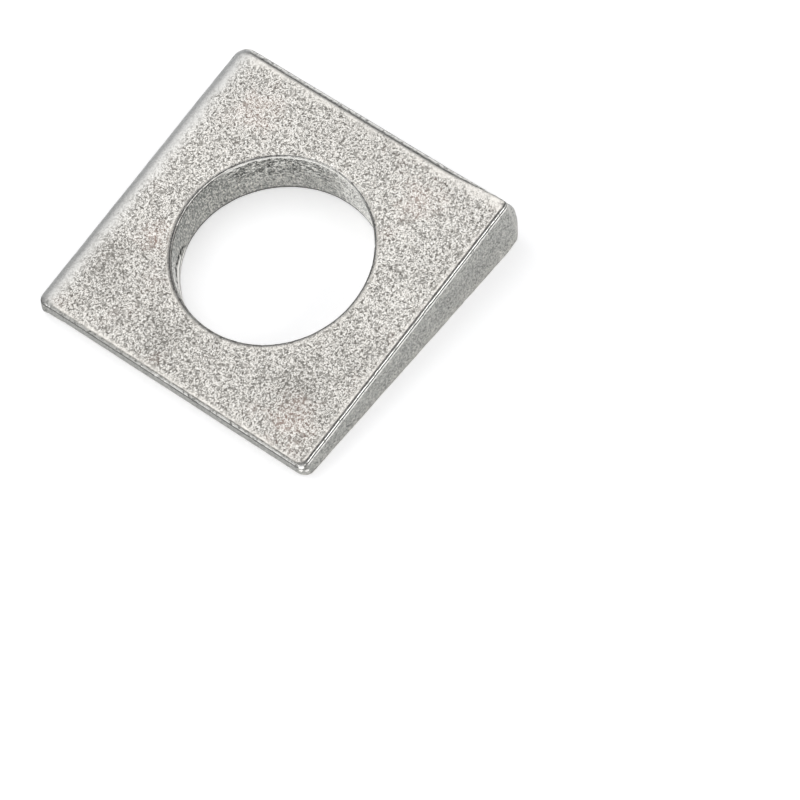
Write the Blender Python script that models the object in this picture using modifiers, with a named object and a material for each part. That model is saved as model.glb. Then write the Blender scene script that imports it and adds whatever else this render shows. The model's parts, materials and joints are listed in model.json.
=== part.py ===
"""Square taper washer: a wedge of rolled bar, cropped square and punched for one bolt.

Metres, +Z up. The washer lies on its taper face, so its flat face looks up and leans by the
taper angle. The crops and the bore are square to the flat face, not to the taper face. The
punch went in through the flat face: it left that rim rolled over and the other one sharp.
"""

import math

import bmesh
import bpy
from mathutils import Matrix, Vector

# The plate, measured square to its flat face.
WIDTH = 0.040            # along X, from crop to crop
LENGTH = 0.040           # along Y, from the thin edge to the thick edge
THIN_EDGE = 0.003        # thickness at the thin edge
RISE_PER_LENGTH = 1 / 6  # taper between the flat face and the taper face
BACK_CROWN = 0.00030     # how far the thick edge stands proud at half its height

# The bore, round about an axis square to the flat face.
BORE_DIAMETER = 0.024
BORE_OFFSET_X = -0.00010  # the punch sat a little off the middle
BORE_OFFSET_Y = 0.00025
BORE_ROLL_OVER = 0.00040  # rounding of the rim where the punch went in
BORE_SIDES = 96

# Roundings left by the rolls along the thin and the thick edge.
THIN_TOP_RADIUS = 0.00050
THIN_FOOT_RADIUS = 0.00075
BACK_TOP_RADIUS = 0.00090
BACK_FOOT_RADIUS = 0.00170

# Roundings of the two crops, and of the four upright corners.
LEFT_TOP_RADIUS = 0.00130
RIGHT_TOP_RADIUS = 0.00055
CROP_FOOT_RADIUS = 0.00045
THIN_LEFT_CORNER_RADIUS = 0.00110
THIN_RIGHT_CORNER_RADIUS = 0.00130
BACK_LEFT_CORNER_RADIUS = 0.00180
BACK_RIGHT_CORNER_RADIUS = 0.00060

ROUNDING_SEGMENTS = 5
ROLL_OVER_SEGMENTS = 4
CROWN_ROWS = 8
SMOOTH_ANGLE = math.radians(30)
CUTTER_OVERRUN = 0.005  # how far the punch stands out of each face
MERGE_DISTANCE = 0.00001

TAPER_ANGLE = math.atan(RISE_PER_LENGTH)
THICK_EDGE = THIN_EDGE + LENGTH * RISE_PER_LENGTH

STEEL_COLOUR = (0.62, 0.60, 0.56, 1.0)
STEEL_ROUGHNESS = 0.50
STEEL_METALLIC = 1.0


def clear_scene():
    for obj in list(bpy.data.objects):
        bpy.data.objects.remove(obj, do_unlink=True)


def new_collection(name):
    collection = bpy.data.collections.new(name)
    bpy.context.scene.collection.children.link(collection)
    return collection


def new_object(name, bm, collection):
    mesh = bpy.data.meshes.new(name)
    bm.to_mesh(mesh)
    bm.free()
    obj = bpy.data.objects.new(name, mesh)
    collection.objects.link(obj)
    return obj


def steel():
    material = bpy.data.materials.new("bare_steel")
    material.use_nodes = True
    shader = material.node_tree.nodes["Principled BSDF"]
    shader.inputs["Base Color"].default_value = STEEL_COLOUR
    shader.inputs["Roughness"].default_value = STEEL_ROUGHNESS
    shader.inputs["Metallic"].default_value = STEEL_METALLIC
    return material


def thickness_at(y):
    """Thickness square to the flat face, at y from the middle of the plate."""
    return THIN_EDGE + (y + LENGTH / 2) * RISE_PER_LENGTH


def wedge_block():
    """The sharp wedge: flat face at z = 0, and the thick edge crowned between its corners."""
    bm = bmesh.new()
    bmesh.ops.create_cube(bm, size=1)
    for vert in bm.verts:
        y = vert.co.y * LENGTH
        depth = 0 if vert.co.z > 0 else thickness_at(y)
        vert.co = Vector((vert.co.x * WIDTH, y, -depth))
    uprights = [e for e in bm.edges if runs_along(e) == "Z" and middle(e).y > 0]
    bmesh.ops.subdivide_edges(bm, edges=uprights, cuts=CROWN_ROWS - 1)
    for vert in bm.verts:
        if vert.co.y > 0:
            share = -vert.co.z / THICK_EDGE
            vert.co.y += BACK_CROWN * 4 * share * (1 - share)
    bmesh.ops.recalc_face_normals(bm, faces=bm.faces)
    return bm


def middle(edge):
    return (edge.verts[0].co + edge.verts[1].co) / 2


def runs_along(edge):
    """The axis that an edge follows most closely."""
    span = edge.verts[1].co - edge.verts[0].co
    return max(zip(map(abs, span), "XYZ"))[1]


def is_crown_row(edge):
    """True for the edges across the crown, which stay as its facets."""
    inset = THICK_EDGE / CROWN_ROWS / 2
    return middle(edge).y > 0 and inset - THICK_EDGE < middle(edge).z < -inset


def rounding_of(edge):
    """The rounding that one edge of the wedge gets."""
    at = middle(edge)
    on_top = at.z > -THIN_EDGE / 2
    along = runs_along(edge)
    if along == "X" and is_crown_row(edge):
        return 0
    if along == "X" and at.y > 0:
        return BACK_TOP_RADIUS if on_top else BACK_FOOT_RADIUS
    if along == "X":
        return THIN_TOP_RADIUS if on_top else THIN_FOOT_RADIUS
    if along == "Y" and on_top:
        return LEFT_TOP_RADIUS if at.x < 0 else RIGHT_TOP_RADIUS
    if along == "Y":
        return CROP_FOOT_RADIUS
    if at.y > 0:
        return BACK_LEFT_CORNER_RADIUS if at.x < 0 else BACK_RIGHT_CORNER_RADIUS
    return THIN_LEFT_CORNER_RADIUS if at.x < 0 else THIN_RIGHT_CORNER_RADIUS


def set_roundings(bm):
    """Stores each edge's rounding as a share of the largest, and returns the largest."""
    weights = bm.edges.layers.float.new("bevel_weight_edge")
    largest = max(rounding_of(edge) for edge in bm.edges)
    for edge in bm.edges:
        edge[weights] = rounding_of(edge) / largest
    return largest


def punch_profile():
    """Half the punch's section as (radius, height), from its upper end down to its lower one."""
    radius = BORE_DIAMETER / 2
    profile = [(0, CUTTER_OVERRUN), (radius + BORE_ROLL_OVER, CUTTER_OVERRUN)]
    for step in range(ROLL_OVER_SEGMENTS + 1):
        turned = math.pi / 2 * step / ROLL_OVER_SEGMENTS
        out = BORE_ROLL_OVER * (1 - math.sin(turned))
        down = BORE_ROLL_OVER * (1 - math.cos(turned))
        profile.append((radius + out, -down))
    bottom = -THICK_EDGE - CUTTER_OVERRUN
    return profile + [(radius, bottom), (0, bottom)]


def punch(collection):
    """The turned cutter of the bore, standing out of both faces."""
    bm = bmesh.new()
    verts = [bm.verts.new((radius, 0, height)) for radius, height in punch_profile()]
    for upper, lower in zip(verts, verts[1:]):
        bm.edges.new((upper, lower))
    cutter = new_object("bore_punch", bm, collection)
    turn = cutter.modifiers.new("turned", "SCREW")
    turn.steps = BORE_SIDES
    turn.render_steps = BORE_SIDES
    turn.use_merge_vertices = True
    turn.merge_threshold = MERGE_DISTANCE
    cutter.hide_render = True
    cutter.display_type = "WIRE"
    return cutter


def add_roundings(washer, width):
    bevel = washer.modifiers.new("edge_rounding", "BEVEL")
    bevel.limit_method = "WEIGHT"
    bevel.width = width
    bevel.segments = ROUNDING_SEGMENTS


def add_bore(washer, cutter):
    cutter.parent = washer
    cutter.location = (BORE_OFFSET_X, BORE_OFFSET_Y, 0)
    cut = washer.modifiers.new("bore", "BOOLEAN")
    cut.operation = "DIFFERENCE"
    cut.object = cutter


def lay_on_taper_face(washer):
    """Turns the taper face down onto z = 0, with the washer centred over the origin."""
    turn = Matrix.Rotation(TAPER_ANGLE, 4, "X")
    evaluated = washer.evaluated_get(bpy.context.evaluated_depsgraph_get())
    points = [turn @ vert.co for vert in evaluated.data.vertices]
    low = Vector(min(point[axis] for point in points) for axis in range(3))
    high = Vector(max(point[axis] for point in points) for axis in range(3))
    centre = (low + high) / 2
    washer.matrix_world = Matrix.Translation((-centre.x, -centre.y, -low.z)) @ turn


def build():
    clear_scene()
    parts = new_collection("Square taper washer")
    cutters = new_collection("Cutters")
    block = wedge_block()
    largest_rounding = set_roundings(block)
    washer = new_object("square_taper_washer", block, parts)
    washer.data.materials.append(steel())
    washer.data.shade_smooth()
    washer.data.set_sharp_from_angle(angle=SMOOTH_ANGLE)
    cutter = punch(cutters)
    add_roundings(washer, largest_rounding)
    add_bore(washer, cutter)
    lay_on_taper_face(washer)


build()
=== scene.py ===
"""The looks of a square taper washer: rolled, cropped, punched and pickled steel.

One Geometry Nodes tree makes the whole washer as a ring of quads, closed round its section, and
then wears it. The material reads what the tree stores on the surface.
"""

import collections
import functools
import json
import math

import bpy
from mathutils import Matrix, Vector


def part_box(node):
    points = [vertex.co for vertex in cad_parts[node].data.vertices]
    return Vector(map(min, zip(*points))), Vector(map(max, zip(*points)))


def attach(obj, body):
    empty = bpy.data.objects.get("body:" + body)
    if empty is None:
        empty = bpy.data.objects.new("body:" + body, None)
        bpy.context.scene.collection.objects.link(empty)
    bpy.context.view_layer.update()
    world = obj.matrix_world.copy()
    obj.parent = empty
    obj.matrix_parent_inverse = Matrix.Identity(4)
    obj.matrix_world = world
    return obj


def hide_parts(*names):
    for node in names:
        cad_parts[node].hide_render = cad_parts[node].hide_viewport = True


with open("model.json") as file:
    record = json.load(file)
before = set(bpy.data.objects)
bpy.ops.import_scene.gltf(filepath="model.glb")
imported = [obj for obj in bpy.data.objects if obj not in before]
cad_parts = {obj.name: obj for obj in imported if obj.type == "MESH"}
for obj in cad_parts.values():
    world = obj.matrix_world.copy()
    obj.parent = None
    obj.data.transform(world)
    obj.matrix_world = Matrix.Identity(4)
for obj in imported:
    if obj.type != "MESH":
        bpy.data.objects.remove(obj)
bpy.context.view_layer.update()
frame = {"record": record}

bl_info = {
    "name": "Square taper washer",
    "version": (1, 0, 0),
    "blender": (4, 5, 0),
    "location": "3D View > Sidebar > Washer",
    "description": "Adds a square taper washer of pickled steel, and a plain stage for it",
    "category": "Add Mesh",
}

MM = 0.001
BORE = 24 * MM
NODE = "square_taper_washer"
BODY = "root"

# Where the washer lies, from the frame: its nut face leans by the taper angle.
NUT_FACE = next(m for m in frame["record"]["mounts"] if m["name"] == "nut_face")
LEAN = math.atan2(-NUT_FACE["axis"][1], NUT_FACE["axis"][2])
MIDDLE_OF_NUT_FACE = Vector((0, NUT_FACE["pos_m"][1], NUT_FACE["pos_m"][2]))
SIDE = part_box(NODE)[1][0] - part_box(NODE)[0][0]
SLOPE = math.tan(LEAN)
THIN_EDGE = NUT_FACE["pos_m"][2] / math.cos(LEAN) - SIDE / 2 * SLOPE


# Fields: numbers in a node tree

class Field:
    """A number in a node tree. Arithmetic on it adds Math nodes to that tree."""

    def __init__(self, tree, socket):
        self.tree = tree
        self.socket = socket

    def math(self, operation, *others):
        return result(self.tree, "ShaderNodeMath", self, *others, operation=operation)

    def __add__(self, other):
        return self.math("ADD", other)

    def __sub__(self, other):
        return self.math("SUBTRACT", other)

    def __rsub__(self, other):
        return self.math("MULTIPLY_ADD", -1, other)

    def __mul__(self, other):
        return self.math("MULTIPLY", other)

    def __truediv__(self, other):
        return self.math("DIVIDE", other)

    def __neg__(self):
        return self * -1

    def __abs__(self):
        return self.math("ABSOLUTE")

    def __rtruediv__(self, other):
        return self.math("POWER", -1) * other

    __radd__ = __add__
    __rmul__ = __mul__


def feed(socket, value):
    """Links a Field to an input socket, or sets the socket to a plain value."""
    if isinstance(value, Field):
        value.tree.links.new(value.socket, socket)
    else:
        socket.default_value = value


def set_up(node, **settings):
    """Sets a node's own settings, named in small letters, and its inputs, named with _ for a space."""
    for name, value in settings.items():
        if name.islower():
            setattr(node, name, value)
        else:
            feed(node.inputs[name.replace("_", " ")], value)


def add_node(tree, node_type, *values, **settings):
    """Adds a node, sets it up, and feeds its first inputs the values."""
    node = tree.nodes.new(node_type)
    set_up(node, **settings)
    for socket, value in zip(node.inputs, values):
        feed(socket, value)
    return node


def result(tree, node_type, *values, output=0, **settings):
    """What a new node gives, as a Field."""
    return Field(tree, add_node(tree, node_type, *values, **settings).outputs[output])


def applied(tree, group, **settings):
    """What a node group gives, as a list of Fields."""
    node_type = "GeometryNodeGroup" if tree.type == "GEOMETRY" else "ShaderNodeGroup"
    node = add_node(tree, node_type, node_tree=group, **settings)
    return [Field(tree, output) for output in node.outputs]


def sine(angle):
    return angle.math("SINE")


def cosine(angle):
    return angle.math("COSINE")


def sign(value):
    return value.math("SIGN")


def below(value, limit):
    """1 where value is below limit, else 0."""
    return value.math("LESS_THAN", limit)


def lesser(value, other):
    return value.math("MINIMUM", other)


def greater(value, other):
    return value.math("MAXIMUM", other)


def strongest(fields):
    """The greatest of several Fields."""
    return functools.reduce(greater, fields)


def clamp(value, low=0.0, high=1.0):
    return lesser(greater(value, low), high)


def length_of(x, y):
    return (x * x + y * y).math("SQRT")


def mix(start, end, share):
    return share * (end - start) + start


def ramp(value, low, high):
    """Rises smoothly from 0 to 1 as value goes from low to high."""
    return result(value.tree, "ShaderNodeMapRange", value, low, high, interpolation_type="SMOOTHSTEP")


def fall(value, low, high):
    """Falls smoothly from 1 to 0 as value goes from low to high."""
    return 1 - ramp(value, low, high)


def between(value, low, high, soft):
    """1 while value is between low and high, falling to 0 at both over the distance soft."""
    return ramp(value, low, low + soft) * fall(value, high - soft, high)


def split(vector):
    """The x, y and z of a vector Field, as Fields."""
    node = add_node(vector.tree, "ShaderNodeSeparateXYZ", vector)
    return [Field(vector.tree, output) for output in node.outputs]


def noise(vector, size, seed, detail=2.0, roughness=0.5, distortion=0.0):
    """Soft noise about 0.5, whose spots are about as far apart as size."""
    values = (vector, seed, 1 / size, detail, roughness)
    return result(
        vector.tree, "ShaderNodeTexNoise", *values, noise_dimensions="4D", Distortion=distortion
    )


def named(tree, name):
    """A number that the surface carries, in a geometry tree or in a material."""
    if tree.type == "GEOMETRY":
        return result(tree, "GeometryNodeInputNamedAttribute", name)
    return result(tree, "ShaderNodeAttribute", attribute_name=name, output="Fac")


def new_group(kind, name, inputs, outputs, output_type="NodeSocketFloat"):
    """A node group with inputs of (name, socket type, default) each, and its inputs as Fields by name."""
    tree = bpy.data.node_groups.new(name, kind)
    for label, socket_type, default in inputs:
        socket = tree.interface.new_socket(label, in_out="INPUT", socket_type=socket_type)
        if default is not None:
            socket.default_value = default
    for label in outputs:
        tree.interface.new_socket(label, in_out="OUTPUT", socket_type=output_type)
    add_node(tree, "NodeGroupOutput")
    entry = add_node(tree, "NodeGroupInput")
    given = {label: Field(tree, entry.outputs[label]) for label, socket_type, default in inputs}
    return tree, given


def hand_out(tree, **results):
    """Feeds a group's outputs by name, with _ for a space, and returns the tree."""
    set_up(next(node for node in tree.nodes if node.type == "GROUP_OUTPUT"), **results)
    arrange(tree)
    return tree


COLUMN_WIDTH, ROW_HEIGHT = 220, 190


def arrange(tree):
    """Lays a tree's nodes out in columns, each to the right of what feeds it."""

    @functools.cache
    def column(node):
        feeders = [link.from_node for socket in node.inputs for link in socket.links]
        return max((column(feeder) + 1 for feeder in feeders), default=0)

    filled = collections.Counter()
    for node in tree.nodes:
        node.location = (column(node) * COLUMN_WIDTH, -filled[column(node)] * ROW_HEIGHT)
        filled[column(node)] += 1


# What a user can change

def number(name, description, default, **kind):
    return bpy.props.FloatProperty(name=name, description=description, default=default, **kind)


def distance(name, description, metres):
    return number(name, description, metres, precision=5, subtype="DISTANCE", unit="LENGTH")


def rotation(name, description, degrees):
    return number(name, description, math.radians(degrees), subtype="ANGLE", unit="ROTATION")


def share(name, description, default):
    return number(name, description, default, min=0, max=1, subtype="FACTOR")


def seed_number(what, default):
    description = f"Picks another pattern of {what}"
    return bpy.props.IntProperty(name="Seed", description=description, default=default)


def colour(name, description, default):
    return bpy.props.FloatVectorProperty(
        name=name, description=description, default=default, size=3, min=0, max=1, subtype="COLOR"
    )


class WasherSizes(bpy.types.PropertyGroup):
    """Sizes of the washer. Each one is an input of the Geometry Nodes tree of the same name."""

    side: distance("Side", "Length of each side of the square", SIDE)
    thin_edge: distance("Thin edge", "Thickness at the thin edge", THIN_EDGE)
    slope: number("Slope", "Rise of the taper for each unit of length", SLOPE, precision=4)
    crown: distance("Crown", "How far the thick edge stands proud at half its height", 0.30 * MM)
    bore: distance("Bore", "Diameter of the bolt hole", BORE)
    bore_x: distance("Bore X", "How far the bore sits from the middle, from crop to crop", -0.10 * MM)
    bore_y: distance("Bore Y", "How far it sits from the middle, towards the thick edge", 0.25 * MM)
    roll_over: distance("Roll-over", "Height of the rolled rim where the punch went in", 0.40 * MM)
    roll_width: distance("Roll-over width", "Width of that rolled rim", 0.60 * MM)
    pull_width: distance("Pull-down width", "How far the left crop's upper edge is drawn in", 2.20 * MM)
    pull_depth: distance("Pull-down depth", "How far the left crop's upper edge is drawn down", 0.65 * MM)
    right_top: distance("Right top", "Rounding along the right crop's upper edge", 0.55 * MM)
    thin_top: distance("Thin top", "Rounding along the thin edge, above", 0.50 * MM)
    thick_top: distance("Thick top", "Rounding along the thick edge, above", 0.95 * MM)
    tightened: share("Tightened", "What is left of the thick top rounding at its right end", 0.2)
    swollen: number("Swollen", "Growth of the right foot rounding at its thick end", 2.4, min=1)
    sharpened: share("Sharpened", "What is left of the thin foot rounding at its left end", 0.3)
    left_foot: distance("Left foot", "Rounding along the left crop, below", 0.30 * MM)
    right_foot: distance("Right foot", "Rounding along the right crop, below", 0.45 * MM)
    thin_foot: distance("Thin foot", "Rounding along the thin edge, below", 0.75 * MM)
    thick_foot: distance("Thick foot", "Rounding along the thick edge, below", 1.70 * MM)
    thin_left: distance("Thin left corner", "Rounding of that upright corner", 1.10 * MM)
    thin_right: distance("Thin right corner", "Rounding of that upright corner", 1.30 * MM)
    thick_left: distance("Thick left corner", "Rounding of that upright corner", 1.70 * MM)
    thick_right: distance("Thick right corner", "Rounding of that upright corner", 0.75 * MM)
    # Seam shift moves only the painted dark line along the thick edge; the form stays.
    seam_shift: distance("Seam shift", "How much further over the thick edge its upper seam runs", 0.26 * MM)
    flare: distance("Flare", "How far the thick edge bulges near the top of its right end", 0.66 * MM)
    spread: distance("Spread", "How far the foot of the thin left corner stands out", 0.48 * MM)
    least_corner: distance("Least corner", "Rounding left to a corner whose edges leave none", 0.25 * MM)
    waviness: distance("Waviness", "Depth of the broad hollows that rolling left", 0.02 * MM)
    edge_wear: distance("Edge wear", "Depth of the uneven wear along the edges", 0.04 * MM)
    nick_depth: distance("Nick depth", "Depth of the knocks along the edges", 0.08 * MM)
    tear_depth: distance("Tear depth", "Depth of the torn grain in the bore", 0.28 * MM)
    break_depth: distance("Break depth", "How far the break-out low in the bore stands proud", 0.06 * MM)
    seed: seed_number("wear", 7)


SOCKET_TYPES = {"FLOAT": "NodeSocketFloat", "INT": "NodeSocketInt"}


def own_properties(group):
    """The properties that a PropertyGroup adds itself."""
    return [p for p in group.bl_rna.properties if p.identifier not in ("rna_type", "name")]


# The washer's form. Its own axes: x from crop to crop, y from thin to thick edge, nut face at z = 0.

AROUND = 800               # quads round the bore
CORNER_CROWDING = 0.5      # how much closer together they stand at the corners
RIM_CROWDING = 0.7         # how much closer together the rows of a face stand at both its rims
SIDES = ("left", "right", "thin", "thick")
TOP_DEPTHS = ("pull_depth", "right_top", "thin_top", "thick_top")
TOP_WIDTHS = ("pull_width", *TOP_DEPTHS[1:])
FOOT_ROUNDINGS = ("left_foot", "right_foot", "thin_foot", "thick_foot")
CORNERS = ("thin left", "thin right", "thick left", "thick right")
TINY = 1e-7
MERGE_DISTANCE = 1e-6
SHARP_ANGLE = math.radians(45)


def rounded_outline_group():
    """A square outline with an inset for each side and a rounding for each corner.

    It gives the point for each place round the outline. Drop blends a depth given for each side by
    the way that the outline faces there. Tightened, Swollen and Sharpened change insets and depths
    near one end of a side, as the washer's settings say. Facing thick is 1 where the outline faces
    the thick side, -1 where it faces the thin side, and 0 on the crops.
    """
    numbers = ["Around", "Half side", "Share", "Least corner", "Tightened", "Swollen", "Sharpened"]
    numbers += [f"Inset {side}" for side in SIDES] + [f"Depth {side}" for side in SIDES]
    numbers += [f"Corner {corner}" for corner in CORNERS]
    inputs = [(label, "NodeSocketFloat", 0.0) for label in numbers]
    results = ("X", "Y", "Drop", "Facing thick")
    tree, given = new_group("GeometryNodeTree", "Rounded outline", inputs, results)
    around = given["Around"]
    around = around + sine(around * (4 * math.tau)) * (CORNER_CROWDING / (4 * math.tau))
    along = [clamp((around * 8 + start).math("PINGPONG", 4) - 2, -1, 1) for start in (4, 2)]
    left, thin = (below(part, 0) for part in along)
    tightened = mix(1, given["Tightened"], ramp(along[0], 0.5, 1))
    swollen = mix(1, given["Swollen"], ramp(along[1], 0.86, 1))
    sharpened = mix(1, given["Sharpened"], ramp(-along[0], 0.75, 0.95))
    insets = [
        mix(given["Inset right"] * swollen, given["Inset left"], left) * given["Share"],
        mix(given["Inset thick"] * tightened, given["Inset thin"] * sharpened, thin) * given["Share"],
    ]
    corner = mix(
        mix(given["Corner thick right"], given["Corner thick left"], left),
        mix(given["Corner thin right"], given["Corner thin left"], left),
        thin,
    )
    kept_by_edges = (insets[0] + insets[1]) * mix(mix(0.5, 0.2, thin), 0.5, left)
    corner = greater(corner - kept_by_edges, given["Least corner"])
    reach = [given["Half side"] - inset for inset in insets]
    ahead = [abs(part) * far for part, far in zip(along, reach)]
    into = [greater(corner - far + near, 0) for far, near in zip(reach, ahead)]
    span = greater(length_of(*into), TINY)
    facing = [sign(part) * deep / span for part, deep in zip(along, into)]
    place = [
        sign(part) * (near - deep + deep * corner / span)
        for part, near, deep in zip(along, ahead, into)
    ]
    depth_x = mix(given["Depth right"] * swollen, given["Depth left"], left)
    depth_y = mix(given["Depth thick"] * tightened, given["Depth thin"] * sharpened, thin)
    drop = facing[0] * facing[0] * depth_x + facing[1] * facing[1] * depth_y
    return hand_out(tree, X=place[0], Y=place[1], Drop=drop, Facing_thick=facing[1])


def position(tree):
    """Where each point is, as a vector Field."""
    return result(tree, "GeometryNodeInputPosition")


class WasherForm:
    """The washer's surface as formulas of u, once round the bore, and v, once across each band."""

    def __init__(self, tree, size):
        self.tree = tree
        self.size = size
        self.outline_group = rounded_outline_group()
        self.u, self.v = (part + 0.5 for part in split(position(tree))[:2])
        self.half = size["side"] * 0.5
        self.radius = size["bore"] * 0.5
        self.thick_edge = size["thin_edge"] + size["side"] * size["slope"]
        self.quarter = self.v * (math.pi / 2)

    def outline(self, share_in, at_foot):
        """x, y, drop and facing of the outline, above or at the foot, drawn in by a share of its insets."""
        size = self.size
        insets, depths = [FOOT_ROUNDINGS] * 2 if at_foot else (TOP_WIDTHS, TOP_DEPTHS)
        return applied(
            self.tree,
            self.outline_group,
            Around=self.u,
            Half_side=self.half,
            Share=share_in,
            Least_corner=size["least_corner"],
            Tightened=1 if at_foot else size["tightened"],
            Swollen=size["swollen"] if at_foot else 1,
            Sharpened=size["sharpened"] if at_foot else 1,
            **{f"Inset {side}": size[inset] for side, inset in zip(SIDES, insets)},
            **{f"Depth {side}": size[depth] for side, depth in zip(SIDES, depths)},
            **{f"Corner {corner}": size[corner.replace(" ", "_")] for corner in CORNERS},
        )

    def foot_height(self, y):
        """Height of the taper face at y."""
        return -(self.size["thin_edge"] + (y + self.half) * self.size["slope"])

    def crowned(self, x, y, z, facing_thick):
        """A point of the sides, moved out by the crown, the flare and the spread corner."""
        depth = -z / self.thick_edge
        bulge = self.size["crown"] * 4 * depth * (1 - depth)
        flare = ramp(depth, 0, 0.40) * fall(depth, 0.58, 1.0) * ramp(x, self.half - 5 * MM, self.half)
        thick = greater(facing_thick, 0)
        above = z - self.foot_height(y)
        spread = ramp(above, 0, 0.8 * MM) * fall(above, 0.9 * MM, 3.0 * MM)
        spread = spread * ramp(-x, self.half - 1.8 * MM, self.half - 0.1 * MM)
        out = (bulge + flare * self.size["flare"]) * thick * thick
        return x, y + out - spread * self.size["spread"] * greater(-facing_thick, 0), z

    def rim(self, radius):
        """The circle of that radius round the bore's axis."""
        angle = self.u * math.tau
        return cosine(angle) * radius + self.size["bore_x"], sine(angle) * radius + self.size["bore_y"]

    def face(self, share_across, radius, at_foot):
        """Flat band from the bore's rim, at share 0, to the outline, at share 1."""
        outer = self.outline(1.0, at_foot)[:2]
        return [mix(inside, outside, share_across) for inside, outside in zip(self.rim(radius), outer)]

    def taper_face(self):
        x, y = self.face(crowded(self.v), self.radius, at_foot=True)
        return x, y, self.foot_height(y)

    def foot_rounding(self):
        x, y, drop, facing = self.outline(1 - sine(self.quarter), at_foot=True)
        z = self.foot_height(y) + drop * (1 - cosine(self.quarter))
        return self.crowned(x, y, z, facing)

    def wall(self):
        x, y, foot, facing = self.outline(0.0, at_foot=True)
        top = self.outline(0.0, at_foot=False)[2]
        z = mix(self.foot_height(y) + foot, -top, self.v)
        return self.crowned(x, y, z, facing)

    def top_rounding(self):
        x, y, drop, facing = self.outline(1 - cosine(self.quarter), at_foot=False)
        return self.crowned(x, y, drop * (sine(self.quarter) - 1), facing)

    def nut_face(self):
        rim = self.radius + self.size["roll_width"]
        x, y = self.face(1 - crowded(self.v), rim, at_foot=False)
        return x, y, y * 0

    def roll_over(self):
        x, y = self.rim(self.radius + self.size["roll_width"] * (1 - sine(self.quarter)))
        return x, y, self.size["roll_over"] * (cosine(self.quarter) - 1)

    def bore_wall(self):
        x, y = self.rim(self.radius)
        return x, y, mix(-self.size["roll_over"], self.foot_height(y), self.v)

    def bands(self):
        """Each band's rows and surface, in order round the section.

        With them go its turn away from the nut face, in right angles, and how far over the nut
        face's edge it lies.
        """
        past = 2 * MM          # further over than any mark of the edge reaches
        seam_from = 0.30 * MM  # how far in over the bore's rim its painted dark line starts
        top_drop, facing_thick = self.outline(0.0, at_foot=False)[2:]
        over_top = top_drop * cosine(self.quarter) - greater(facing_thick, 0) * self.size["seam_shift"]
        over_rim = self.size["roll_width"] * sine(self.quarter) - seam_from
        return (
            (8, self.taper_face(), 2, past),
            (8, self.foot_rounding(), 2 - self.v, past),
            (16, self.wall(), 1, past),
            (12, self.top_rounding(), 1 - self.v, over_top),
            (22, self.nut_face(), 0, 0),
            (8, self.roll_over(), self.v, over_rim),
            (48, self.bore_wall(), 1, past),
        )


def crowded(value):
    """0 to 1 as value is, but with more places near both ends."""
    return value - sine(value * math.tau) * (RIM_CROWDING / math.tau)


def stored(tree, geometry, **numbers):
    """The geometry with numbers stored on its points under their names."""
    for name, value in numbers.items():
        geometry = result(tree, "GeometryNodeStoreNamedAttribute", geometry, Name=name, Value=value)
    return geometry


def moved(tree, geometry, depth):
    """The geometry with its surface let in by depth."""
    normal = result(tree, "GeometryNodeInputNormal")
    offset = result(tree, "ShaderNodeVectorMath", normal, operation="SCALE", Scale=-depth)
    return result(tree, "GeometryNodeSetPosition", geometry, Offset=offset)


def bare_form(tree, form):
    """The bands of the washer joined into one closed surface."""
    join = add_node(tree, "GeometryNodeJoinGeometry")
    for rows, place, turn, over_edge in form.bands():
        grid = result(tree, "GeometryNodeMeshGrid", 1, 1, AROUND + 1, rows + 1)
        band = stored(tree, grid, turn=turn, over_edge=over_edge)
        place = result(tree, "ShaderNodeCombineXYZ", *place)
        feed(join.inputs[0], result(tree, "GeometryNodeSetPosition", band, Position=place))
    whole = Field(tree, join.outputs[0])
    return result(tree, "GeometryNodeMergeByDistance", whole, Distance=MERGE_DISTANCE)


def with_places(tree, form, geometry):
    """Stores on each point where it is, for the wear and the material to read."""
    size = form.size
    x, y, z = split(position(tree))
    left_gap = form.half + x
    y_gap = form.half - abs(y)
    from_side = lesser(lesser(left_gap, form.half - x), y_gap)
    across, along = x - size["bore_x"], y - size["bore_y"]
    from_bore = length_of(across, along) - form.radius
    above_foot = z - form.foot_height(y)
    edge_gap = greater(greater(lesser(from_side, from_bore), lesser(-z, above_foot)), 0)
    return stored(
        tree,
        geometry,
        edge_gap=edge_gap,
        in_bore=fall(from_bore, 0, 0.5 * MM),
        on_side=fall(from_side, 0, 0.3 * MM),
        on_left=fall(left_gap, 2.6 * MM, 3.2 * MM) * ramp(y_gap, 0.5 * MM, 0.9 * MM),
        depth=-z / (above_foot - z),
        towards_right=across / form.radius,
        towards_thick=along / form.radius,
    )


def lying_at(degrees, right, thick):
    """1 on the part of the bore that lies at that angle from the right, 0 a quarter turn away from it.

    It takes how far each place lies towards the right and the thick edge.
    """
    turned = math.radians(degrees)
    return right * math.cos(turned) + thick * math.sin(turned)


def knocks(tree, geometry, seed, size, spacing):
    """1 at the middle of knocks scattered over the edges, falling to 0 at their size."""
    near_edge = below(named(tree, "edge_gap"), 0.4 * MM)
    scatter = "GeometryNodeDistributePointsOnFaces"
    points = result(tree, scatter, geometry, near_edge, Density=1 / spacing ** 2, Seed=seed)
    near = result(tree, "GeometryNodeProximity", points, target_element="POINTS", output="Distance")
    return fall(near, 0, size)


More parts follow.
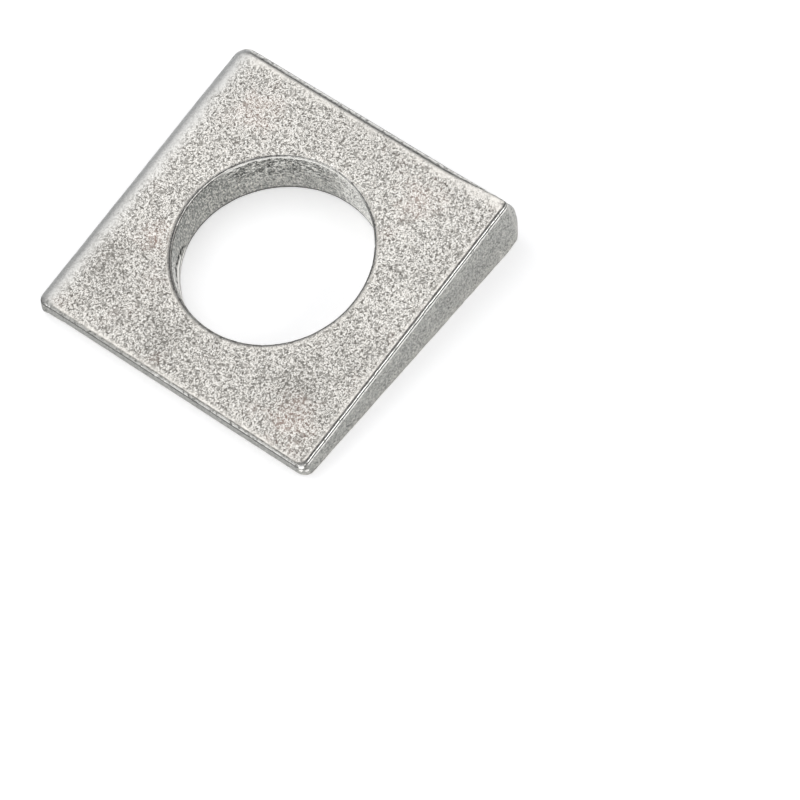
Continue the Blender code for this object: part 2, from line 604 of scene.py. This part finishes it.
def punched_through(tree, size, geometry, place):
    """The bore as the punch left it: lip and torn band under the rim, and a break-out low on the left."""
    seed = size["seed"]
    right, thick = named(tree, "towards_right"), named(tree, "towards_thick")
    share_down = named(tree, "depth")
    in_bore = named(tree, "in_bore") * fall(share_down, 0.985, 0.995)
    depth = -split(place)[2]

    torn_part = ramp(lying_at(112, right, thick), 0.60, 0.85) * in_bore
    lip = 0.46 * MM + (noise(place, 0.8 * MM, seed + 5, detail=3) - 0.5) * 1.0 * MM
    under_lip = ramp(depth, lip, lip + 0.10 * MM) * torn_part
    lip_shadow = ramp(depth, lip, lip + 0.04 * MM) * fall(depth, lip + 0.12 * MM, lip + 0.34 * MM)
    flakes = noise(place, 0.45 * MM, seed + 6, detail=3, roughness=0.6, distortion=1.0)
    torn = under_lip * ramp(flakes, 0.42, 0.62) * fall(share_down, 0.5, 0.8)
    tear = (under_lip * 0.4 + torn * 0.6) * fall(share_down, 0.45, 0.8)

    low_left = ramp(-right, 0.15, 0.40) * ramp(-thick, 0.16, 0.22) * in_bore
    crack = 1.02 - ramp(-thick, 0.16, 0.66) * 0.42
    crack = crack + (noise(place, 0.35 * MM, seed + 7, detail=4, roughness=0.7) - 0.5) * 0.24
    broken = ramp(share_down, crack, crack + 0.02) * low_left
    open_part = ramp(noise(place, 0.6 * MM, seed + 9), 0.43, 0.50)
    gap = fall(abs(share_down - crack + 0.05), 0.045, 0.10) * fall(crack, 0.86, 0.96) * low_left * open_part

    turned = lying_at(155, right, thick) + (noise(place, 1.2 * MM, seed + 8, detail=3) - 0.5) * 0.3
    # Besides the form, this stores where the material paints light: a highlight on the lip, on the burnished
    # right side and on the break-out, and shade under the lip and in the crack.
    geometry = stored(
        tree,
        geometry,
        lip=torn_part * fall(depth, lip, lip + 0.05 * MM),
        under_lip=under_lip,
        lip_shadow=lip_shadow * torn_part,
        broken=broken,
        burnished=greater(fall(turned, 0.30, 0.58), broken),
        gap=gap,
    )
    return moved(tree, geometry, size["tear_depth"] * tear + size["break_depth"] * (gap * 1.5 - broken))


def worn(tree, size, geometry):
    """The form with the hollows of rolling, the marks of the punch, uneven edges and knocks."""
    place = position(tree)
    seed = size["seed"]
    edge = fall(named(tree, "edge_gap"), 0, 1.2 * MM)
    hollow = ramp(noise(place, 7 * MM, seed, detail=1), 0.3, 0.7)
    uneven = ramp(noise(place, 1.4 * MM, seed + 1, detail=3), 0.35, 0.75)
    geometry = moved(tree, geometry, size["waviness"] * hollow + size["edge_wear"] * edge * uneven)
    geometry = punched_through(tree, size, geometry, place)
    return moved(tree, geometry, size["nick_depth"] * knocks(tree, geometry, seed, 0.32 * MM, 3.0 * MM))


def washer_tree():
    """The Geometry Nodes tree of the whole washer."""
    properties = own_properties(WasherSizes)
    inputs = [(p.name, SOCKET_TYPES[p.type], p.default) for p in properties]
    inputs.append(("Steel", "NodeSocketMaterial", None))
    tree, given = new_group(
        "GeometryNodeTree", "Square taper washer", inputs, ["Washer"], output_type="NodeSocketGeometry"
    )
    size = {p.identifier: given[p.name] for p in properties}
    form = WasherForm(tree, size)
    geometry = with_places(tree, form, bare_form(tree, form))
    geometry = worn(tree, size, geometry)
    shading = "GeometryNodeSetShadeSmooth"
    geometry = result(tree, shading, geometry)
    sharp = 1 - below(result(tree, "GeometryNodeInputMeshEdgeAngle"), SHARP_ANGLE)
    geometry = result(tree, shading, geometry, sharp, domain="EDGE", Shade_Smooth=False)
    geometry = result(tree, "GeometryNodeRealizeInstances", geometry)
    return hand_out(tree, Washer=result(tree, "GeometryNodeSetMaterial", geometry, Material=given["Steel"]))


# The steel

class SteelFinish(bpy.types.PropertyGroup):
    """Colours and grain of the pickled steel."""

    bright: colour("Bright steel", "Skin of the steel between the pits", (0.82, 0.79, 0.735))
    # Colour of the painted highlights: glints and pit rims on the skin, lines along the edges, spots at the
    # corners and nicks, the bore's lip, its lit right side and the break-out.
    glint: colour("Glint", "Bare steel, burnished bright", (0.95, 0.94, 0.90))
    pitted: colour("Pitted steel", "Steel in the bottom of the pits", (0.225, 0.214, 0.194))
    rusty: colour("Rusty pits", "Steel in the bottom of the pits where it reddened", (0.35, 0.27, 0.235))
    # Darker than the skin partly as the cropped steel is, and partly as painted shade of the sides.
    cropped: colour("Cropped steel", "Steel of the sides", (0.36, 0.365, 0.345))
    punched: colour("Punched steel", "Steel of the bore", (0.265, 0.274, 0.258))
    # Also the colour of the painted dark lines along the edges and at the corners, and of the painted shade
    # in the bore.
    scale: colour("Scale", "Dark scale in specks and along the edges", (0.09, 0.09, 0.085))
    grain: distance("Grain", "How far apart the pits of the pickled skin are", 0.36 * MM)
    cover: share("Pit cover", "How much of the skin the pits cover", 0.52)
    pit_depth: distance("Pit depth", "Depth of the pits", 0.010 * MM)
    seed: seed_number("pits", 3)


REDDENED = (1.0, 0.94, 0.92)    # tint of the skin in the red stains
LEFT_EDGE_SHADE = (0.84, 0.87, 0.91)     # painted bluish shade along the drawn-down left edge
CRACK_SHADE = (0.02, 0.02, 0.02)   # painted shade in the crack


def shader_mix(amount, first, second, blend="MIX"):
    """A colour between two, each a colour or a Field."""
    node = add_node(amount.tree, "ShaderNodeMix", amount, data_type="RGBA", blend_type=blend)
    for socket, value in zip((node.inputs[6], node.inputs[7]), (first, second)):
        feed(socket, value if isinstance(value, Field) else (*value, 1))
    return Field(amount.tree, node.outputs[2])


def painted(base, *coats):
    """The base colour under coats of other colours, each (how much, colour), from the lowest up."""
    for amount, coat in coats:
        base = shader_mix(amount, base, coat)
    return base


def round_spots(vector, size, least, soft, kept):
    """1 inside round spots scattered over x and y, of many sizes, where only a share of them is kept."""
    tree = vector.tree
    node = add_node(tree, "ShaderNodeTexVoronoi", vector, voronoi_dimensions="2D", Scale=1 / size)
    chance = split(Field(tree, node.outputs["Color"]))[0]
    reach = least + chance * 0.30
    return fall(Field(tree, node.outputs["Distance"]), reach, reach + soft) * below(chance, kept)


def stretched(place, along_x, along_y, along_z):
    """The place with each axis scaled, so that what is drawn there is drawn out along the small ones."""
    scale = (along_x, along_y, along_z)
    return result(place.tree, "ShaderNodeVectorMath", place, scale, operation="MULTIPLY")


def shader_group(name, outputs, **inputs):
    """A shader group with its inputs' defaults by name. An input without a default is a vector."""
    inputs = [
        (label, "NodeSocketVector" if default is None else "NodeSocketFloat", default)
        for label, default in inputs.items()
    ]
    tree, given = new_group("ShaderNodeTree", name, inputs, outputs)
    return (tree, *given.values())


def pitting_group():
    """Pits left by pickling: small ones, worm tracks, and round ones here and there.

    Rim is 1 round the small ones, where the skin gets a painted highlight.
    """
    tree, place, grain, cover, seed = shader_group(
        "Pitting", ("Pit", "Rim"), Place=None, Grain=0.4 * MM, Cover=0.5, Seed=0.0
    )
    clusters = (noise(place, grain * 7, seed + 1) - 0.5) * 0.3
    specks = noise(place, grain * 0.85, seed, roughness=0.55, distortion=0.5)
    limit = mix(0.66, 0.44, cover) - clusters * 0.12
    small = ramp(specks, limit, limit + 0.035)
    # a bright rim round each small pit, for a painted highlight
    rim = between(specks, limit - 0.10, limit + 0.01, 0.04)
    worn = mix(0.70, 1.0, ramp(noise(place, grain * 1.3, seed + 5), 0.42, 0.58))
    tiny = ramp(noise(place, grain * 0.45, seed + 4, detail=1), 0.56, 0.62)
    track = abs(noise(place, grain * 1.4, seed + 2, roughness=0.6, distortion=0.8) - 0.5)
    kept = mix(0.72, 0.42, cover) - clusters * 0.3
    tracks = fall(track, 0.012, 0.036) * ramp(noise(place, grain * 1.6, seed + 3), kept - 0.04, kept + 0.06)
    holes = round_spots(place, grain * 2.6, least=0.04, soft=0.08, kept=0.42)
    broad = round_spots(place, grain * 4.6, least=0.03, soft=0.04, kept=0.45)
    pit = strongest([small * worn, tiny * 0.6, tracks * 0.9, holes * 0.65, broad * 0.6])
    return hand_out(tree, Pit=pit, Rim=rim)


def clouding_group():
    """Broad stains: how dark and how red the skin is from place to place."""
    tree, place, seed = shader_group("Clouding", ("Dark", "Red"), Place=None, Seed=0.0)
    dark = ramp(noise(place, 7 * MM, seed, detail=4, roughness=0.6), 0.50, 0.72)
    red = ramp(noise(place, 4 * MM, seed + 1, detail=3, roughness=0.6), 0.55, 0.72)
    return hand_out(tree, Dark=dark, Red=red)


def stain_group():
    """One stain: 1 at its middle, falling to 0 at its size, with a ragged outline."""
    tree, place, middle, size = shader_group("Stain", ["Stain"], Place=None, Middle=None, Size=3 * MM)
    away = result(tree, "ShaderNodeVectorMath", place, middle, operation="DISTANCE", output="Value")
    ragged = (noise(place, size * 0.55, 0, detail=4, roughness=0.65) - 0.5) * 2.5
    return hand_out(tree, Stain=fall(away / size + ragged, 0.0, 1.0))


def scratch_group():
    """One scratch: 1 on the line from one end to the other, 0 beyond its width."""
    tree, place, start, end, width = shader_group(
        "Scratch", ["Scratch"], Place=None, Start=None, End=None, Width=0.12 * MM
    )
    (x, y), (start_x, start_y), (end_x, end_y) = (split(point)[:2] for point in (place, start, end))
    run_x, run_y = end_x - start_x, end_y - start_y
    span = length_of(run_x, run_y)
    ahead = ((x - start_x) * run_x + (y - start_y) * run_y) / (span * span)
    aside = abs((x - start_x) * run_y - (y - start_y) * run_x) / span
    wander = (noise(place, 3 * MM, 5) - 0.5) * 0.5 * MM
    line = fall(abs(aside + wander), width * 0.3, width)
    broken = ramp(noise(place, 0.6 * MM, 6), 0.40, 0.55)
    return hand_out(tree, Scratch=line * between(ahead, 0, 1, 0.15) * broken)


def speckling_group():
    """Dark specks on a cut face, thicker in some places than in others."""
    tree, place, grain, seed = shader_group("Speckling", ["Speck"], Place=None, Grain=0.3 * MM, Seed=0.0)
    specks = ramp(noise(place, grain, seed, roughness=0.6), 0.56, 0.62)
    patches = ramp(noise(place, grain * 10, seed + 1), 0.35, 0.65)
    return hand_out(tree, Speck=specks * mix(0.5, 1.0, patches))


# Marks on the steel and painted light, in millimetres from the middle of the nut face along the washer's own
# axes.
# Stains, painted glints and painted dark reflections: the middle of each, and its size. Scratches: the two
# ends of each.
DARK_STAINS = (((-15.4, -11.9, 0), 4.5), ((13.6, -12.2, 0), 5.0), ((-4, -16, 0), 5.0))
RED_STAINS = (((-12.3, 14.0, 0), 4.0), ((15.1, -15.7, 0), 4.5), ((10.8, 14.7, 0), 4.0), ((-13, -6, 0), 3.0))
# painted highlights at the corners and on nicks along the thin edge
NICK_AND_CORNER_GLINTS = (
    ((-1.8, -19.9, -0.1), 0.38), ((-0.5, -19.95, -0.1), 0.25), ((-4.0, -19.9, -0.1), 0.2),
    ((-18.1, -19.9, -0.1), 0.22), ((-18.5, -19.85, -0.2), 0.2),
    ((19.45, -19.75, -0.3), 0.6), ((19.33, -19.83, -1.2), 0.42), ((19.83, -19.3, -1.5), 0.35),
)
# painted dark reflections round the corner highlights
DARK_CORNER_REFLECTIONS = (
    ((19.9, -19.2, -0.15), 0.5), ((19.75, -19.45, -0.85), 0.6), ((19.1, -19.87, -0.05), 0.45),
    ((-18.5, -20.0, -0.5), 0.4), ((-17.8, -20.0, -0.5), 0.35), ((19.7, 19.45, 0), 0.55),
)
SCRATCHES = (
    ((-9.0, -13.6, 0), (3.4, -14.6, 0)),
    ((1.2, -16.6, 0), (4.6, -18.4, 0)),
    ((-15.0, 3.0, 0), (-11.5, 9.0, 0)),
)


def in_metres(point):
    return tuple(part * MM for part in point)


def stains_at(group, place, marks):
    """How much of a stain each place has, from a list of marks."""
    return strongest([
        applied(place.tree, group, Place=place, Middle=in_metres(middle), Size=size * MM)[0]
        for middle, size in marks
    ])


def calm_near_edges(place):
    """0 beside the edges of the nut face, where rolling closed the pits, and 1 away from them.

    With it goes how near the left edge each place is.
    """
    x, y = split(place)[:2]
    wander = (noise(place, 1.5 * MM, 4, detail=3) - 0.5) * 2.5 * MM
    half = SIDE / 2
    left = ramp(half + x + wander, 1.0 * MM, 3.2 * MM)
    thick = ramp(half - y + wander, 0.5 * MM, 2.0 * MM)
    others = ramp(lesser(half - x, half + y) + wander * 0.3, 0.3 * MM, 1.2 * MM)
    rim = ramp(length_of(x, y) - BORE / 2 + wander * 0.5, 0.3 * MM, 1.0 * MM)
    at_left = fall(half + x + wander * 0.5, 0.6 * MM, 4.0 * MM)
    return left * thick * others * mix(0.5, 1, rim), at_left


def bore_rim_shade(tree):
    """1 along the rim of the bore on its left and right, where the steel bends down to it: the mask of a
    painted shade.
    """
    right, thick = named(tree, "towards_right"), named(tree, "towards_thick")
    return ramp(abs(lying_at(34, right, thick)), 0.62, 0.90) * fall(length_of(right, thick), 1.042, 1.058)


def skin_colour(tree, place, stain, finish):
    """Colour of the pickled skin, and how deep in a pit each place is."""
    seed = finish.seed
    calm, at_left = calm_near_edges(place)
    rim_shade = bore_rim_shade(tree)
    dark, red = applied(tree, clouding_group(), Place=place, Seed=seed + 10)
    dark_stain = stains_at(stain, place, DARK_STAINS)
    red = greater(red * 0.4, stains_at(stain, place, RED_STAINS))
    thin_half = ramp(-split(place)[1], -8 * MM, 12 * MM)
    cover = dark * 0.05 + dark_stain * 0.11 + thin_half * 0.03 + finish.cover
    pit, rim = applied(tree, pitting_group(), Place=place, Grain=finish.grain, Cover=cover, Seed=seed)
    pit = pit * mix(0.22, 1.0, calm) * (1 - rim_shade * 0.6)
    scratch = scratch_group()
    scratches = strongest([
        applied(tree, scratch, Place=place, Start=in_metres(start), End=in_metres(end))[0]
        for start, end in SCRATCHES
    ])
    glint = noise(place, finish.grain * 0.36, seed + 7, detail=1)
    dull = calm * 0.12 + thin_half * 0.12 + greater(dark * 0.07, dark_stain * 0.13)
    skin = shader_mix(red * 0.6, finish.bright, REDDENED, blend="MULTIPLY")
    # painted bluish shade along the left edge, where the steel is drawn down and tilts away
    skin = shader_mix(at_left, skin, LEFT_EDGE_SHADE, blend="MULTIPLY")
    skin = painted(
        skin,
        # painted highlights: fine glints, and bright rims round the pits
        (greater(ramp(glint, 0.54, 0.60), rim * 0.45) * mix(0.4, 1, calm), finish.glint),
        (fall(glint, 0.38, 0.45) * calm * 0.65, finish.pitted),
        # painted shade beside the bore's rim, where the steel bends down to it
        (greater(dull, rim_shade * 0.5), finish.pitted),
        (pit, shader_mix(red, finish.pitted, finish.rusty)),
        (scratches * 0.6, finish.pitted),
    )
    return skin, pit


def punched_colour(tree, place, specks, finish):
    """Colour of the bore: dark and torn where the punch dragged, paler low down, and with painted light on
    its burnished right side, its lip and its break-out.
    """
    seed = finish.seed
    depth, broken = named(tree, "depth"), named(tree, "broken")
    lower = ramp(depth, 0.3, 0.75)
    torn = named(tree, "under_lip") * (1 - lower * 0.7)
    # painted light: the right side of the bore takes the paler side steel too
    lower = greater(lower, ramp(named(tree, "towards_right"), -0.75, 0.10) * 0.8)
    drawn = noise(stretched(place, 1, 1, 0.45), 0.22 * MM, seed + 30, detail=3, roughness=0.7)
    flakes = noise(stretched(place, 0.5, 0.5, 1.3), 0.36 * MM, seed + 31, detail=3, distortion=1.2)
    # painted highlight on the burnished right side of the bore
    lit = named(tree, "burnished") * mix(0.15, 0.90, ramp(drawn, 0.45, 0.54))
    wander = (noise(place, 0.7 * MM, seed + 32, detail=3) - 0.5) * 0.10
    ledge = greater(between(depth + wander, 0.78, 0.90, 0.03), ramp(depth, 0.93, 0.95)) * broken
    return painted(
        finish.punched,
        (lower, finish.cropped),
        (ramp(drawn, 0.51, 0.58) * 0.7, finish.bright),
        (fall(drawn, 0.40, 0.47) * 0.8, finish.scale),
        (specks * mix(1.0, 0.4, lower), finish.scale),
        (ramp(flakes, 0.53, 0.58) * torn * 0.85, finish.glint),
        (fall(flakes, 0.40, 0.45) * torn, finish.scale),
        # painted highlights on the lit right side, the break-out and the lip
        (greater(lit, broken), finish.glint),
        (named(tree, "lip"), finish.glint),
        (named(tree, "lip_shadow"), finish.scale),
        (greater(ramp(depth, 0.945, 0.965), ledge) * 0.8, finish.scale),
        # painted shade in the crack
        (named(tree, "gap"), CRACK_SHADE),
    )


def cropped_colour(tree, place, specks, finish):
    """Colour of the sides: grey, partly as painted shade, grained, specked with scale, and paler towards the
    foot.
    """
    grain = noise(place, 0.24 * MM, finish.seed + 50, roughness=0.7)
    fine = noise(place, 0.17 * MM, finish.seed + 51, detail=1)
    rolled = ramp(-split(place)[1], 18.5 * MM, 19.6 * MM)
    return painted(
        finish.cropped,
        (ramp(named(tree, "depth"), 0.5, 0.95) * 0.20, finish.bright),
        (ramp(grain, 0.52, 0.66) * 0.35, finish.bright),
        (fall(grain, 0.34, 0.48) * 0.6, finish.scale),
        (ramp(fine, 0.55, 0.63) * 0.50, finish.bright),
        (fall(fine, 0.37, 0.45) * 0.65, finish.scale),
        (greater(specks * 0.9, rolled * 0.22), finish.scale),
    )


def edge_marks(tree, place, turn, seed):
    """The dark lines and the bright bands along the edges: painted dark reflections and highlights.

    Each edge has a dark line, a painted dark reflection, just over it and another lower down its
    rounding. Between them the steel is polished and carries a painted highlight, in one band, or in
    two thin ones on the right. The left edge has none of these, for it was drawn down and not cut.
    """
    over_edge = named(tree, "over_edge")
    x, y = split(place)[:2]
    off_left = 1 - named(tree, "on_left")
    off_thick = mix(1.0, 0.5, ramp(y, 18.4 * MM, 19.2 * MM))
    at_thin = ramp(-y, 18.9 * MM, 19.3 * MM)
    line_strength = 1 - at_thin * fall(x, -9 * MM, 3 * MM)
    at_right = ramp(x, 18.9 * MM, 19.2 * MM) * (1 - at_thin)

    # the painted dark lines: one just over the edge, one lower down its rounding
    thin_to = mix(0.13 * MM, 0.19 * MM, at_right)
    jagged = ramp(noise(place, 0.35 * MM, seed + 42), 0.38, 0.58)
    upper = ramp(over_edge, 0, 0.03 * MM) * fall(over_edge, thin_to, thin_to + 0.07 * MM)
    upper = upper * off_thick * mix(0.65, 0.9, line_strength) * mix(0.65, 0.95, jagged)
    lower = mix(between(turn, 0.66, 0.96, 0.08), between(turn, 0.45, 0.67, 0.06), at_right)
    patchy = ramp(noise(place, 0.8 * MM, seed + 40, detail=3), 0.30, 0.55)
    shade_lines = greater(upper, lower) * mix(0.5, 1.0, greater(patchy, at_right * 0.8))

    worn_edge = noise(place, 0.30 * MM, seed + 41, detail=3, roughness=0.6)
    specks = fall(worn_edge, 0.38, 0.44) * between(turn, 0.10, 0.99, 0.15) * (1 - at_right * 0.7)
    # the painted highlight lines, on polished steel, between the dark ones
    two_lines = greater(between(turn, 0.28, 0.50, 0.06), between(turn, 0.62, 0.92, 0.08))
    polish_and_highlight = mix(between(turn, 0.26, 0.66, 0.12), two_lines, at_right) * mix(0.25, 1.0, line_strength)
    polish_and_highlight = polish_and_highlight * ramp(worn_edge, mix(0.42, 0.32, at_right), mix(0.52, 0.46, at_right))
    return greater(shade_lines, specks * 0.7) * off_left, polish_and_highlight * off_left


def new_material(name):
    """A new material, and the tree that makes its look."""
    material = bpy.data.materials.new(name)
    material.use_nodes = True
    return material, material.node_tree


def steel_material(finish):
    material, tree = new_material("Pickled steel")
    place = result(
        tree,
        "ShaderNodeMapping",
        result(tree, "ShaderNodeTexCoord", output="Object"),
        vector_type="TEXTURE",
        Location=MIDDLE_OF_NUT_FACE,
        Rotation=(LEAN, 0, 0),
    )
    seed = finish.seed

    stain = stain_group()
    skin, pit = skin_colour(tree, place, stain, finish)
    specks = applied(tree, speckling_group(), Place=place, Grain=finish.grain * 0.7, Seed=seed + 20)[0]
    cropped = cropped_colour(tree, place, specks, finish)
    punched = punched_colour(tree, place, specks, finish)

    turn = named(tree, "turn")
    shade_lines, polish_and_highlight = edge_marks(tree, place, turn, seed)
    off_bore = ramp(length_of(*split(place)[:2]), BORE / 2 + 1.2 * MM, BORE / 2 + 2 * MM)
    off_left = 1 - named(tree, "on_left")
    rounded = ramp(turn, 0.08, 0.25) * off_bore * off_left * 0.75
    # painted highlight along the lip under the bore's rim
    lip = named(tree, "lip") * ramp(turn, 0.60, 0.68)
    # painted highlights: glint spots at corners and nicks, and the lip
    glints_and_lip_highlight = greater(ramp(stains_at(stain, place, NICK_AND_CORNER_GLINTS), 0.30, 0.45), lip)
    body = painted(
        skin,
        (greater(named(tree, "on_side"), rounded), cropped),
        (named(tree, "in_bore") * ramp(turn, 0.6, 0.9), punched),
        # painted highlights on the polished edges, then painted dark reflections along the edges and at the
        # corners, with specks of scale
        (polish_and_highlight * 0.8, finish.glint),
        (greater(shade_lines, stains_at(stain, place, DARK_CORNER_REFLECTIONS) * 0.9), finish.scale),
        (glints_and_lip_highlight, finish.glint),
    )
    height = pit * -finish.pit_depth
    set_up(
        tree.nodes["Principled BSDF"],
        Base_Color=body,
        Metallic=1.0,
        Roughness=mix(mix(0.40, 0.55, pit), 0.18, greater(polish_and_highlight, glints_and_lip_highlight)),
        Normal=result(tree, "ShaderNodeBump", Strength=1.0, Distance=1.0, Height=height),
    )
    arrange(tree)
    return material


# The pieces

def new_object(context, name, data, place=Matrix()):
    """An object in the scene, made from data and put in its place."""
    item = bpy.data.objects.new(name, data)
    item.matrix_world = place
    context.collection.objects.link(item)
    return item


class WASHER_OT_add_washer(bpy.types.Operator):
    """Adds the square taper washer, lying on its taper face"""

    bl_idname = "washer.add_washer"
    bl_label = "Square taper washer"

    def execute(self, context):
        sizes = context.scene.washer_sizes
        tree = washer_tree()
        holder = new_object(context, "washer_form", bpy.data.meshes.new("washer_form"))
        modifier = holder.modifiers.new("Square taper washer", "NODES")
        modifier.node_group = tree
        items = tree.interface.items_tree
        sockets = {item.name: item.identifier for item in items if item.in_out == "INPUT"}
        for prop in own_properties(WasherSizes):
            modifier[sockets[prop.name]] = getattr(sizes, prop.identifier)
        modifier[sockets["Steel"]] = steel_material(context.scene.washer_finish)
        evaluated = holder.evaluated_get(context.evaluated_depsgraph_get())
        mesh = bpy.data.meshes.new_from_object(evaluated)
        bpy.data.objects.remove(holder, do_unlink=True)
        mesh.transform(Matrix.Translation(MIDDLE_OF_NUT_FACE) @ Matrix.Rotation(LEAN, 4, "X"))
        washer = new_object(context, "pickled_washer", mesh)
        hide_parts(NODE)
        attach(washer, BODY)
        return {"FINISHED"}


class StageSettings(bpy.types.PropertyGroup):
    """The camera, the lamps and the floor."""

    azimuth: rotation("Azimuth", "Turn of the camera round the washer", 44.022)
    elevation: rotation("Elevation", "Height of the camera above the horizon", 58.296)
    roll: rotation("Roll", "Turn of the camera about its own line of sight", 7.171)
    reach: distance("Reach", "From the camera to the point of the floor that it looks at", 522.96 * MM)
    lens: number("Lens", "Focal length", 204.12, subtype="DISTANCE_CAMERA", unit="CAMERA")
    floor: colour("Floor", "Colour of the floor", (0.92, 0.92, 0.92))
    glow: share("Floor glow", "What the floor adds where the camera or a reflection sees it", 0.43)


AIM = Vector((21.958, -5.282, 0)) * MM   # where the camera's line of sight meets the floor
SENSOR_WIDTH = 36                        # in millimetres, as Blender takes it
NEAREST_SEEN, FARTHEST_SEEN = 0.01, 10.0
LAMP_DISTANCE = 0.60                     # from the middle of the washer
FLOOR_SIZE = 0.8
FLOOR_DROP = 0.02 * MM                   # how far the floor lies under the washer


def towards(azimuth, elevation):
    """Unit vector from the washer to a place at that azimuth and elevation; azimuth 0 is in front."""
    flat = math.cos(elevation)
    return Vector((math.sin(azimuth) * flat, -math.cos(azimuth) * flat, math.sin(elevation)))


def facing(aim, azimuth, elevation, far):
    """A place that far from the aim at that azimuth and elevation, turned to face it."""
    back = towards(azimuth, elevation)
    turn = back.to_track_quat("Z", "Y").to_matrix().to_4x4()
    return Matrix.Translation(aim + back * far) @ turn


def add_camera(context, stage):
    data = bpy.data.cameras.new("camera")
    data.lens = stage.lens
    data.sensor_width = SENSOR_WIDTH
    data.clip_start = NEAREST_SEEN
    data.clip_end = FARTHEST_SEEN
    place = facing(AIM, stage.azimuth, stage.elevation, stage.reach)
    place = place @ Matrix.Rotation(-stage.roll, 4, "Z")
    context.scene.camera = new_object(context, "camera", data, place)


def add_lamp(context, name, azimuth, elevation, size, power):
    """A soft lamp of that width and height that faces the washer."""
    data = bpy.data.lights.new(name, "AREA")
    data.shape = "RECTANGLE"
    data.size, data.size_y = size
    data.energy = power
    place = facing(Vector(), math.radians(azimuth), math.radians(elevation), LAMP_DISTANCE)
    new_object(context, name, data, place)


def add_floor(context, stage):
    half = FLOOR_SIZE / 2
    mesh = bpy.data.meshes.new("floor")
    corners = [(x * half, y * half, -FLOOR_DROP) for x, y in ((-1, -1), (1, -1), (1, 1), (-1, 1))]
    mesh.from_pydata(corners, [], [(0, 1, 2, 3)])
    floor = new_object(context, "floor", mesh)
    material, tree = new_material("Pale floor")
    path = add_node(tree, "ShaderNodeLightPath").outputs
    kinds = ("Camera", "Glossy", "Transmission")
    seen = strongest([Field(tree, path[f"Is {kind} Ray"]) for kind in kinds])
    set_up(
        tree.nodes["Principled BSDF"],
        Base_Color=(*stage.floor, 1),
        Roughness=0.9,
        Specular_IOR_Level=0.1,
        Emission_Color=(1, 1, 1, 1),
        Emission_Strength=seen * stage.glow,
    )
    mesh.materials.append(material)


def light_world(scene):
    """A room that is bright at the horizon, dimmer overhead and on the left, and white to the camera."""
    world = bpy.data.worlds.new("studio")
    world.use_nodes = True
    scene.world = world
    tree = world.node_tree
    across, along, height = split(result(tree, "ShaderNodeTexCoord", output="Generated"))
    horizon = shader_mix(ramp(-across, 0.3, 0.8), (0.86, 0.87, 0.89), (0.46, 0.48, 0.51))
    room = shader_mix(ramp(height, 0.0, 0.75), horizon, (0.30, 0.30, 0.31))
    seen = result(tree, "ShaderNodeLightPath", output="Is Camera Ray")
    feed(tree.nodes["Background"].inputs["Color"], shader_mix(seen, room, (1, 1, 1)))
    arrange(tree)


class WASHER_OT_add_stage(bpy.types.Operator):
    """Adds the floor, the lamps and the camera"""

    bl_idname = "washer.add_stage"
    bl_label = "Stage"

    def execute(self, context):
        stage = context.scene.washer_stage
        context.scene.view_settings.view_transform = "Standard"
        add_camera(context, stage)
        add_floor(context, stage)
        light_world(context.scene)
        add_lamp(context, "softbox", azimuth=-76, elevation=66, size=(0.50, 0.50), power=1.15)
        add_lamp(context, "right_strip", azimuth=92, elevation=36, size=(0.90, 0.12), power=0.90)
        add_lamp(context, "front_strip", azimuth=-22, elevation=36, size=(0.70, 0.12), power=0.45)
        return {"FINISHED"}


class WASHER_PT_panel(bpy.types.Panel):
    """Lists what a user can change, and the operators"""

    bl_idname = "WASHER_PT_panel"
    bl_label = "Square taper washer"
    bl_space_type = "VIEW_3D"
    bl_region_type = "UI"
    bl_category = "Washer"

    def draw(self, context):
        scene = context.scene
        for settings, operator in (
            (scene.washer_sizes, None),
            (scene.washer_finish, "washer.add_washer"),
            (scene.washer_stage, "washer.add_stage"),
        ):
            for prop in own_properties(type(settings)):
                self.layout.prop(settings, prop.identifier)
            if operator:
                self.layout.operator(operator)


SETTINGS = {"washer_sizes": WasherSizes, "washer_finish": SteelFinish, "washer_stage": StageSettings}
CLASSES = (*SETTINGS.values(), WASHER_OT_add_washer, WASHER_OT_add_stage, WASHER_PT_panel)


def register():
    for cls in CLASSES:
        bpy.utils.register_class(cls)
    for name, settings in SETTINGS.items():
        setattr(bpy.types.Scene, name, bpy.props.PointerProperty(type=settings))


def unregister():
    for name in SETTINGS:
        delattr(bpy.types.Scene, name)
    for cls in reversed(CLASSES):
        bpy.utils.unregister_class(cls)


def main():
    register()
    bpy.ops.washer.add_washer()
    bpy.ops.washer.add_stage()


if __name__ == "__main__":
    main()
